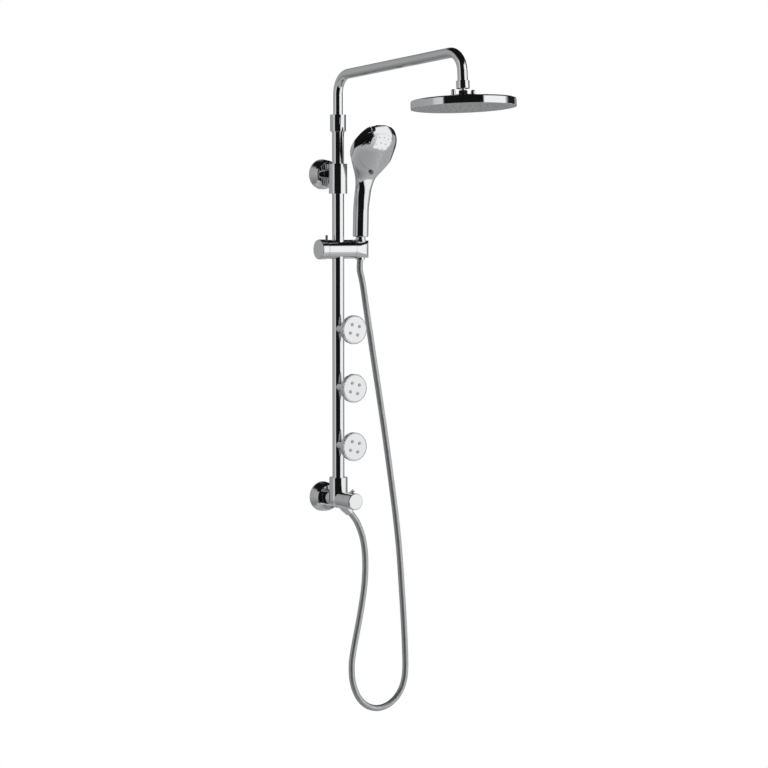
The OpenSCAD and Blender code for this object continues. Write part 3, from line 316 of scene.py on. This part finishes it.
def satin_grey_abs():
    """Satin grey ABS, moulded on an eroded tool: an even grey with a fine grain."""
    return surface("satin_grey_abs", "#9FA0A1", 0.0, 0.36, 1.2, grain_rough=0.05, bump=0.03)


def dark_abs():
    """Dark grey moulded ABS: a quiet satin."""
    return surface("dark_abs", "#5A5B5D", 0.0, 0.38, 1.5, grain_rough=0.05)


def silicone():
    """Liquid-moulded grey silicone: matt and slightly soft at its edges."""
    return surface("silicone", "#ABADAE", 0.0, 0.55, 1.5, grain_rough=0.06)


def epdm_rubber():
    """Black EPDM rubber: matt, nearly without highlights."""
    return surface("epdm_rubber", "#161616", 0.0, 0.7, 1, grain_rough=0.08)


def wound_steel_strip():
    """Wound, chromed steel strip of the hose: bright ribs that blur what they mirror."""
    return surface("wound_steel_strip", "#C6C8CA", 1.0, 0.5, 8, grain_rough=0.06)


FINISHES = {
    "chrome": chrome_plate,
    "chromed_plastic": chromed_abs,
    "steel": stainless_steel,
    "brass": turned_brass,
    "ceramic": alumina_ceramic,
    "white_plastic": acetal,
    "grey_plastic": satin_grey_abs,
    "dark_plastic": dark_abs,
    "nozzle_rubber": silicone,
    "black_rubber": epdm_rubber,
    "hose_metal": wound_steel_strip,
}
finish_of_slot = {}


def slot_material(slot):
    """The finish of a material slot, made once."""
    if slot not in finish_of_slot:
        finish_of_slot[slot] = FINISHES[slot]()
    return finish_of_slot[slot]


# Pieces

def clear_selection():
    """Leaves edit mode and selects nothing."""
    if bpy.context.object and bpy.context.object.mode != "OBJECT":
        bpy.ops.object.mode_set(mode="OBJECT")
    bpy.ops.object.select_all(action="DESELECT")


def activate(piece):
    """Selects this piece alone."""
    clear_selection()
    piece.select_set(True)
    bpy.context.view_layer.objects.active = piece


def settle(piece, name):
    """Names a piece and applies its place to its mesh."""
    activate(piece)
    piece.name = name
    piece.data.name = name
    bpy.ops.object.transform_apply(location=True, rotation=True, scale=True)
    return piece


def dress(piece, material, body):
    """Gives a piece its finish and the body that it rides on."""
    piece.data.materials.clear()
    piece.data.materials.append(material)
    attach(piece, body)


def apply_modifiers(piece):
    """Applies all of a piece's modifiers."""
    activate(piece)
    for modifier in list(piece.modifiers):
        bpy.ops.object.modifier_apply(modifier=modifier.name)


def smooth(piece, degrees):
    """Shades a piece smooth, with sharp edges past an angle."""
    activate(piece)
    bpy.ops.object.shade_smooth_by_angle(angle=math.radians(degrees))


def outward(piece):
    """Merges doubles and turns every face outward."""
    activate(piece)
    bpy.ops.object.mode_set(mode="EDIT")
    bpy.ops.mesh.select_mode(type="VERT")
    bpy.ops.mesh.select_all(action="SELECT")
    bpy.ops.mesh.remove_doubles(threshold=WELD)
    bpy.ops.mesh.normals_make_consistent(inside=False)
    bpy.ops.object.mode_set(mode="OBJECT")


def place_in_frame(piece, matrix):
    """Moves a piece's mesh by a matrix and keeps its object at the origin."""
    piece.data.transform(matrix)
    piece.data.update()


# Curves and meshes

def curve(a, b, c, d, t):
    """A value between b and c on the smooth curve through four values, at a share of the way."""
    return 0.5 * (2 * b + (c - a) * t + (2 * a - 5 * b + 4 * c - d) * t * t
                  + (3 * b - a - 3 * c + d) * t ** 3)


def band(first, sides):
    """The faces between a ring of points and the next ring."""
    faces = []
    for k in range(sides):
        m = (k + 1) % sides
        faces.append((first + k, first + m, first + sides + m, first + sides + k))
    return faces


def new_piece(name, verts, faces):
    """A piece made of points and faces, at the origin."""
    mesh = bpy.data.meshes.new(name)
    mesh.from_pydata(verts, [], faces)
    mesh.update()
    piece = bpy.data.objects.new(name, mesh)
    bpy.context.scene.collection.objects.link(piece)
    return piece


def round_edges(piece, width):
    """Rounds a piece's edges off and applies its modifiers."""
    edge = piece.modifiers.new("edge", "BEVEL")
    edge.width = width
    edge.segments = 3
    apply_modifiers(piece)


# Places

def face_place():
    """From the spray face's centre, with +Z out of it and +Y up it, to the frame."""
    turn = Matrix.Rotation(math.radians(90) + FACE_LEAN, 4, "X")
    return Matrix.Translation((HOLDER_X, -RISER_OUT - FACE_OUT, FACE_Z)) @ turn


def rain_place():
    """From the rain head's swivel ball, with +Z up the arm's leg, to the frame."""
    joint = next(j for j in frame["joints"] if j["name"] == "rain_head_spin")
    lean = math.atan2(joint["axis"][1], joint["axis"][2])
    return Matrix.Translation(joint["pos_m"]) @ Matrix.Rotation(-lean, 4, "X")


# Hose

def route_point(i):
    """A point of the hose's route in the frame, with one more beyond each end."""
    last = len(HOSE_ROUTE) - 1
    if i < 0:
        return 2 * route_point(0) - route_point(1)
    if i > last:
        return 2 * route_point(last) - route_point(last - 1)
    x, out, z = HOSE_ROUTE[i]
    return Vector((x * MM, -RISER_OUT - out * MM, z * MM))


def curve_point(i, t):
    """A point of the smooth curve through the route."""
    return curve(*(route_point(i + k) for k in (-1, 0, 1, 2)), t)


def hose_line():
    """The hose's curve as points, and the distance along it at each."""
    points = [
        curve_point(i, k / CURVE_STEPS)
        for i in range(len(HOSE_ROUTE) - 1) for k in range(CURVE_STEPS)]
    points.append(route_point(len(HOSE_ROUTE) - 1))
    distances = [0.0]
    for a, b in zip(points, points[1:]):
        distances.append(distances[-1] + (b - a).length)
    return points, distances


def point_at(points, distances, s):
    """The point at a distance along the hose."""
    s = min(max(s, 0.0), distances[-1])
    i = max(k for k in range(len(distances) - 1) if distances[k] <= s)
    part = (s - distances[i]) / (distances[i + 1] - distances[i])
    return points[i].lerp(points[i + 1], part)


def stretch_ends(distances):
    """Distances along the hose where its stretches meet, on the solids' own rings."""
    total = distances[-1]
    gap = total / round(total / HOSE_RING_PITCH)
    return [round(distances[cut * CURVE_STEPS] / gap) * gap for cut in HOSE_CUTS]


def hose_tube(name, points, distances, start, end, sizes):
    """One stretch of the hose, with a helical groove between its ribs."""
    rings = round((end - start) / (sizes.rib_pitch / RINGS_PER_RIB))
    radius = sizes.diameter / 2
    centres = [
        point_at(points, distances, start + (end - start) * i / rings) for i in range(rings + 1)]
    verts = []
    side = Vector((1, 0, 0))
    for i, centre in enumerate(centres):
        s = start + (end - start) * i / rings
        way = point_at(points, distances, s + HOSE_AHEAD)
        way -= point_at(points, distances, s - HOSE_AHEAD)
        way.normalize()
        side = (side - way * side.dot(way)).normalized()
        other = way.cross(side)
        fade = min(max(min(s - start, end - s) / RIB_FADE, 0.0), 1.0)
        for k in range(HOSE_SIDES):
            angle = 2 * math.pi * k / HOSE_SIDES
            phase = 2 * math.pi * s / sizes.rib_pitch + angle
            groove = max(0.0, math.cos(phase)) ** 2 * sizes.rib_depth
            r = radius - groove * fade
            verts.append(centre + (side * math.cos(angle) + other * math.sin(angle)) * r)
    faces = [face for i in range(rings) for face in band(i * HOSE_SIDES, HOSE_SIDES)]
    faces.append(tuple(reversed(range(HOSE_SIDES))))
    faces.append(tuple(rings * HOSE_SIDES + k for k in range(HOSE_SIDES)))
    tube = new_piece(name, verts, faces)
    smooth(tube, 60)
    return tube, centres


STRETCHES = (
    ("hose_loop_strip", "hose_loop", "riser_frame", None),
    ("hose_rise_strip", "hose_rise", "riser_frame", "slider"),
    ("hose_bend_strip", "hose_bend", "slider", "holder"),
    ("hose_top_strip", "hose_top", "holder", "hose_end"),
)


class SHOWER_OT_hose(bpy.types.Operator):
    """Winds the hose in stretches that meet end to end"""
    bl_idname = "shower.hose"
    bl_label = "Hose"

    def execute(self, context):
        sizes = context.scene.shower_hose
        points, distances = hose_line()
        cuts = stretch_ends(distances)
        for k, (name, node, body, far_body) in enumerate(STRETCHES):
            tube, path = hose_tube(name, points, distances, cuts[k], cuts[k + 1], sizes)
            tube.data.materials.append(slot_material("hose_metal"))
            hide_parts(node)
            if far_body:
                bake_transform(tube)
            else:
                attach(tube, body)
        return {"FINISHED"}


# Hand shower

def beyond(end, inner):
    """The row that lies as far past an end as the row before it lies inside."""
    return [2 * a - b for a, b in zip(end, inner)]


def between(rows, steps):
    """Rows of numbers on a smooth curve through the given rows, a number of steps apart."""
    last = len(rows) - 1
    made = []
    for i in range(last):
        before = rows[i - 1] if i else beyond(rows[0], rows[1])
        after = rows[i + 2] if i + 2 <= last else beyond(rows[last], rows[last - 1])
        for k in range(steps):
            t = k / steps
            made.append([
                curve(*values, t) for values in zip(before, rows[i], rows[i + 1], after)])
    made.append(list(rows[last]))
    return made


def dome(x, y, sizes):
    """Height of the spray face's dome, which falls to its rim and rises again to the grip."""
    fall = y if y > 0 else NECK_SHARE * y
    out = math.hypot(x, fall)
    rim = RIM_FALL * (out / sizes.head_radius) ** RIM_POWER
    rise = NECK_RISE * max((-y - NECK_FROM) / NECK_FROM, 0.0) ** 2
    return rise - rim - out * out / (2 * sizes.dome_radius)


def hand_ring(section, sides, sizes, inset=0.0):
    """One ring of the shell. The head's front is squarer than an ellipse, under the dome."""
    out, height, lean, wide, thick = section
    lean = math.radians(lean)
    head = min(max((height - HEAD_FROM) / (HEAD_FULL - HEAD_FROM), 0.0), 1.0)
    from_face = face_place()
    to_face = from_face.inverted()
    ring = []
    for k in range(sides):
        angle = 2 * math.pi * k / sides
        power = 2 / (2 + sizes.squareness * head) if math.sin(angle) > 0 else 1.0
        across = math.copysign(abs(math.cos(angle)) ** power, math.cos(angle)) * (wide * MM - inset)
        fore = math.copysign(abs(math.sin(angle)) ** power, math.sin(angle)) * (thick * MM - inset)
        place = Vector((
            HOLDER_X + across,
            -RISER_OUT - out * MM - fore * math.cos(lean),
            height * MM - fore * math.sin(lean)))
        if height > HEAD_FROM:
            on_face = to_face @ place
            on_face.z = min(on_face.z, dome(on_face.x, on_face.y, sizes) - PLATE_SINK)
            place = from_face @ on_face
        ring.append(place)
    return ring


class SHOWER_OT_hand_shower(bpy.types.Operator):
    """Draws the hand shower's grip, neck and head through their sections, in one smooth piece"""
    bl_idname = "shower.hand_shower"
    bl_label = "Hand shower shell"

    def execute(self, context):
        sizes = context.scene.shower_hand
        sides = HAND_SIDES
        sections = between(HAND_SECTIONS, SECTION_STEPS)
        out, low, *shape = sections[0]
        rings = []
        for k in range(FOOT_STEPS + 1):
            turn = math.radians(90 * k / FOOT_STEPS)
            lift = sizes.foot_round * (1 - math.cos(turn)) / MM
            inset = sizes.foot_round * (1 - math.sin(turn))
            rings.append(hand_ring((out, low + lift, *shape), sides, sizes, inset))
        straight = low + sizes.foot_round / MM + 1
        rings += [hand_ring(row, sides, sizes) for row in sections if row[1] > straight]
        verts = [place for ring in rings for place in ring]
        faces = [face for i in range(len(rings) - 1) for face in band(i * sides, sides)]
        tip = len(verts)
        top = sum(rings[-1], Vector()) / sides
        verts += [top + Vector((0, -TIP_OUT, TIP_UP)), sum(rings[0], Vector()) / sides]
        last = (len(rings) - 1) * sides
        for k in range(sides):
            m = (k + 1) % sides
            faces.append((last + k, last + m, tip))
            faces.append((m, k, tip + 1))
        shell = new_piece("hand_shower_shell", verts, faces)
        outward(shell)
        smooth(shell, 28)
        dress(shell, slot_material("chromed_plastic"), "handset")
        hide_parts("handset_handle", "handset_head")
        return {"FINISHED"}


class SHOWER_OT_spray_plate(bpy.types.Operator):
    """Adds the domed spray plate and its rings of soft nozzles"""
    bl_idname = "shower.spray_plate"
    bl_label = "Spray plate"

    def execute(self, context):
        sizes = context.scene.shower_hand
        sides = PLATE_SIDES
        radii = [sizes.plate_radius * k / PLATE_RINGS for k in range(1, PLATE_RINGS + 1)]
        verts = [Vector((0, 0, 0))]
        for radius in radii:
            for k in range(sides):
                angle = 2 * math.pi * k / sides
                x, y = radius * math.cos(angle), radius * math.sin(angle)
                verts.append(Vector((x, y, dome(x, y, sizes))))
        faces = [(0, 1 + k, 1 + (k + 1) % sides) for k in range(sides)]
        for i in range(len(radii) - 1):
            for a, b, c, d in band(1 + i * sides, sides):
                faces.append((a, d, c, b))
        plate = new_piece("hand_spray_plate", verts, faces)
        body = plate.modifiers.new("thickness", "SOLIDIFY")
        body.thickness = PLATE_THICK
        body.offset = -1
        round_edges(plate, PLATE_EDGE)
        outward(plate)
        smooth(plate, 30)
        place_in_frame(plate, face_place())
        dress(plate, slot_material("chromed_plastic"), "handset")
        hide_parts("handset_face")
        clear_selection()
        tips = []
        for ring in NOZZLE_RINGS:
            count = NOZZLES_PER_RING * ring
            for k in range(count):
                angle = 2 * math.pi * k / count
                x, y = (ring * sizes.nozzle_pitch * f for f in (math.cos(angle), math.sin(angle)))
                bpy.ops.mesh.primitive_cone_add(
                    vertices=16, radius1=NOZZLE_FOOT, radius2=NOZZLE_TIP, depth=NOZZLE_HEIGHT,
                    location=(x, y, dome(x, y, sizes) - NOZZLE_SINK))
                tips.append(context.object)
        clear_selection()
        for tip in tips:
            tip.select_set(True)
        context.view_layer.objects.active = tips[0]
        bpy.ops.object.join()
        nozzles = settle(context.object, "hand_spray_nozzles")
        smooth(nozzles, 40)
        place_in_frame(nozzles, face_place())
        dress(nozzles, slot_material("nozzle_rubber"), "handset")
        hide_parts("handset_nozzles")
        return {"FINISHED"}


# Rain head

class SHOWER_OT_rain_collar(bpy.types.Operator):
    """Adds the black collar between the swivel nut and the rain head"""
    bl_idname = "shower.rain_collar"
    bl_label = "Rain head collar"

    def execute(self, context):
        clear_selection()
        bpy.ops.mesh.primitive_cylinder_add(
            vertices=96, radius=COLLAR_RADIUS, depth=COLLAR_HEIGHT,
            location=(0, 0, -COLLAR_DROP))
        collar = settle(context.object, "rain_head_collar")
        round_edges(collar, COLLAR_EDGE)
        smooth(collar, 30)
        place_in_frame(collar, rain_place())
        dress(collar, slot_material("black_rubber"), "rain_head")
        return {"FINISHED"}


# Finishes of the solids

class SHOWER_OT_finishes(bpy.types.Operator):
    """Gives every solid its finish"""
    bl_idname = "shower.finishes"
    bl_label = "Finishes"

    def execute(self, context):
        for part in frame["record"]["subparts"]:
            solid = frame["nodes"][part["node"]]
            solid.data.materials.clear()
            solid.data.materials.append(slot_material(part["material_slot"]))
        rim = rounded_abs()
        for jet in ("jet_low", "jet_mid", "jet_top"):
            for part in ("_housing", "_face"):
                frame["nodes"][jet + part].data.materials[0] = rim
        return {"FINISHED"}


# Stage

def wall_ramp(tree, share, bands):
    """Colours of the studio's walls by the way round, from bands of degrees and colours."""
    walls = add_node(tree, "ShaderNodeValToRGB", inputs={"Fac": share})
    ramp = walls.color_ramp
    while len(ramp.elements) < len(bands):
        ramp.elements.new(0.5)
    for element, (degrees, colour) in zip(ramp.elements, bands):
        element.position = (degrees + 180) / 360
        element.color = linear(colour)
    return walls.outputs["Color"]


def fade_to(tree, before, after, height, span):
    """One colour of the studio fading into another as the look's height passes a span."""
    share = add_node(tree, "ShaderNodeMapRange", inputs={
        "Value": height, "From Min": span[0], "From Max": span[1]})
    mixed = add_node(tree, "ShaderNodeMix", {"data_type": "RGBA"}, {
        "Factor": share.outputs["Result"], "A": before, "B": after})
    return mixed.outputs["Result"]


def studio_world():
    """White to the camera, and to the chrome a studio of grey walls, a bright panel and flags."""
    world = bpy.data.worlds.new("studio")
    bpy.context.scene.world = world
    world.use_nodes = True
    tree = world.node_tree
    tree.nodes.clear()
    way = add_node(tree, "ShaderNodeTexCoord")
    axes = add_node(tree, "ShaderNodeSeparateXYZ", inputs={"Vector": way.outputs["Generated"]})
    minus_y = add_node(tree, "ShaderNodeMath", {"operation": "MULTIPLY"}, {
        0: axes.outputs["Y"], 1: -1.0})
    turn = add_node(tree, "ShaderNodeMath", {"operation": "ARCTAN2"}, {
        0: axes.outputs["X"], 1: minus_y.outputs["Value"]})
    share = add_node(tree, "ShaderNodeMapRange", inputs={
        "Value": turn.outputs["Value"], "From Min": -math.pi, "From Max": math.pi})
    level, steep, low = (
        wall_ramp(tree, share.outputs["Result"], LEFT_WALL + bands)
        for bands in (LEVEL_WALL, STEEP_WALL, LOW_WALL))
    rise = add_node(tree, "ShaderNodeMath", {"operation": "ABSOLUTE"}, {0: axes.outputs["Z"]})
    room = fade_to(tree, level, steep, rise.outputs["Value"], STEEP_FADE)
    room = fade_to(tree, room, low, axes.outputs["Z"], LOW_FADE)
    room = fade_to(tree, room, linear(CEILING), axes.outputs["Z"], CEILING_FADE)
    room = fade_to(tree, room, linear(GROUND), axes.outputs["Z"], GROUND_FADE)
    depth = add_node(tree, "ShaderNodeMapRange", inputs={
        "Value": axes.outputs["Z"], "From Min": DEPTH_FADE[0], "From Max": DEPTH_FADE[1],
        "To Min": 1.0, "To Max": FLOOR_SHADE})
    shaded = add_node(tree, "ShaderNodeMix", {"data_type": "RGBA", "blend_type": "MULTIPLY"}, {
        "Factor": 1.0, "A": room, "B": depth.outputs["Result"]})
    mirrored = add_node(tree, "ShaderNodeBackground", inputs={
        "Color": shaded.outputs["Result"], "Strength": PANEL_STRENGTH})
    soft = add_node(tree, "ShaderNodeBackground", inputs={
        "Color": linear("#F4F4F4"), "Strength": SOFT_STRENGTH})
    seen = add_node(tree, "ShaderNodeBackground", inputs={
        "Color": linear("#FFFFFF"), "Strength": 1.0})
    path = add_node(tree, "ShaderNodeLightPath")
    lit = add_node(tree, "ShaderNodeMixShader", inputs={
        "Fac": path.outputs["Is Glossy Ray"],
        1: soft.outputs["Background"], 2: mirrored.outputs["Background"]})
    all_rays = add_node(tree, "ShaderNodeMixShader", inputs={
        "Fac": path.outputs["Is Camera Ray"],
        1: lit.outputs["Shader"], 2: seen.outputs["Background"]})
    add_node(tree, "ShaderNodeOutputWorld", inputs={"Surface": all_rays.outputs["Shader"]})


def studio_camera(settings):
    """The photograph's viewpoint."""
    data = bpy.data.cameras.new("camera")
    data.sensor_width = 36
    data.lens = settings.lens
    camera = bpy.data.objects.new("camera", data)
    bpy.context.scene.collection.objects.link(camera)
    turn = Matrix.Rotation(settings.camera_azimuth, 4, "Z") @ Matrix.Rotation(
        math.radians(90) - settings.camera_pitch, 4, "X")
    camera.matrix_world = Matrix.Translation(settings.camera_place) @ turn
    bpy.context.scene.camera = camera


def soft_lamp(name, place, size, power):
    """A large lamp that looks at the shower and stays out of the chrome."""
    data = bpy.data.lights.new(name, "AREA")
    data.size = size
    data.energy = power
    lamp = bpy.data.objects.new(name, data)
    bpy.context.scene.collection.objects.link(lamp)
    target = Vector((0, -RISER_OUT, 0.4))
    aim = (target - Vector(place)).to_track_quat("-Z", "Y").to_matrix().to_4x4()
    lamp.matrix_world = Matrix.Translation(place) @ aim
    lamp.visible_glossy = False


def studio_card(name, colour, strength, place, width, height, turn):
    """An upright glowing card that only the chrome sees and that lights nothing, a painted reflection. Its turn is
    from facing the wall, in degrees.
    """
    clear_selection()
    bpy.ops.mesh.primitive_plane_add(size=1, location=place)
    card = bpy.context.object
    card.name = name
    card.matrix_world = (
        Matrix.Translation(place) @ Matrix.Rotation(math.radians(turn), 4, "Z")
        @ Matrix.Rotation(math.radians(90), 4, "X") @ Matrix.Diagonal((width, height, 1, 1)))
    paint = bpy.data.materials.new(name)
    paint.use_nodes = True
    tree = paint.node_tree
    tree.nodes.clear()
    glow = add_node(tree, "ShaderNodeEmission", inputs={
        "Color": linear(colour), "Strength": strength})
    add_node(tree, "ShaderNodeOutputMaterial", inputs={"Surface": glow.outputs["Emission"]})
    card.data.materials.append(paint)
    for kind in ("camera", "diffuse", "transmission", "shadow"):
        setattr(card, "visible_" + kind, False)


def pale_floor():
    """A plain pale floor under the shower, below the picture."""
    clear_selection()
    bpy.ops.mesh.primitive_plane_add(size=3, location=(0, -0.4, -1.2))
    floor = bpy.context.object
    floor.name = "floor"
    floor.visible_glossy = False
    paint = surface("floor_paint", "#F2F2F2", 0.0, 0.6, 40, grain_rough=0.05)
    floor.data.materials.append(paint)


class SHOWER_OT_stage(bpy.types.Operator):
    """Sets up the studio: world, lamps, glowing cards that paint reflections into the chrome, floor and camera"""
    bl_idname = "shower.stage"
    bl_label = "Stage"

    def execute(self, context):
        scene = context.scene
        scene.view_settings.view_transform = "Standard"
        studio_world()
        soft_lamp("key_lamp", place=(1.6, -2.6, 2.4), size=1.6, power=22)
        # A glowing grey card that only the chrome sees and that lights nothing: it paints a grey reflection into
        # the chrome's right side
        studio_card(
            "grey_backdrop", "#BCBCBC", 1.0,
            place=(1.0, -0.15, -0.21), width=0.4, height=1.98, turn=90)
        # A glowing white card that only the chrome sees and that lights nothing: it paints a bright reflection
        # into the chrome
        studio_card(
            "white_backdrop", "#FFFFFF", PANEL_STRENGTH,
            place=(0.45, -0.444, 0.528), width=0.513, height=0.544, turn=25)
        pale_floor()
        studio_camera(scene.shower_studio)
        return {"FINISHED"}


class SHOWER_PT_panel(bpy.types.Panel):
    """Lists the sizes and the steps of the shower"""
    bl_idname = "SHOWER_PT_panel"
    bl_label = "Shower"
    bl_space_type = "VIEW_3D"
    bl_region_type = "UI"
    bl_category = "Shower"

    def draw(self, context):
        for group in SETTINGS:
            settings = getattr(context.scene, group)
            box = self.layout.box()
            for name in settings.bl_rna.properties.keys():
                if name not in {"rna_type", "name"}:
                    box.prop(settings, name)
        for operator in OPERATORS:
            self.layout.operator(operator.bl_idname)


SETTINGS = {
    "shower_hose": HoseSizes,
    "shower_hand": HandShowerSizes,
    "shower_studio": StudioSettings,
}
OPERATORS = (
    SHOWER_OT_stage,
    SHOWER_OT_finishes,
    SHOWER_OT_hand_shower,
    SHOWER_OT_spray_plate,
    SHOWER_OT_rain_collar,
    SHOWER_OT_hose,
)


def register():
    """Registers the classes and hangs the settings on the scene."""
    for group in SETTINGS.values():
        bpy.utils.register_class(group)
    for cls in OPERATORS + (SHOWER_PT_panel,):
        bpy.utils.register_class(cls)
    for name, group in SETTINGS.items():
        setattr(bpy.types.Scene, name, bpy.props.PointerProperty(type=group))


def unregister():
    """Removes the settings and the classes."""
    for name in SETTINGS:
        delattr(bpy.types.Scene, name)
    for cls in reversed(OPERATORS + (SHOWER_PT_panel,)):
        bpy.utils.unregister_class(cls)
    for group in reversed(list(SETTINGS.values())):
        bpy.utils.unregister_class(group)


def main():
    """Builds the scene."""
    register()
    bpy.ops.shower.stage()
    bpy.ops.shower.finishes()
    bpy.ops.shower.hand_shower()
    bpy.ops.shower.spray_plate()
    bpy.ops.shower.rain_collar()
    bpy.ops.shower.hose()


if __name__ == "__main__":
    main()
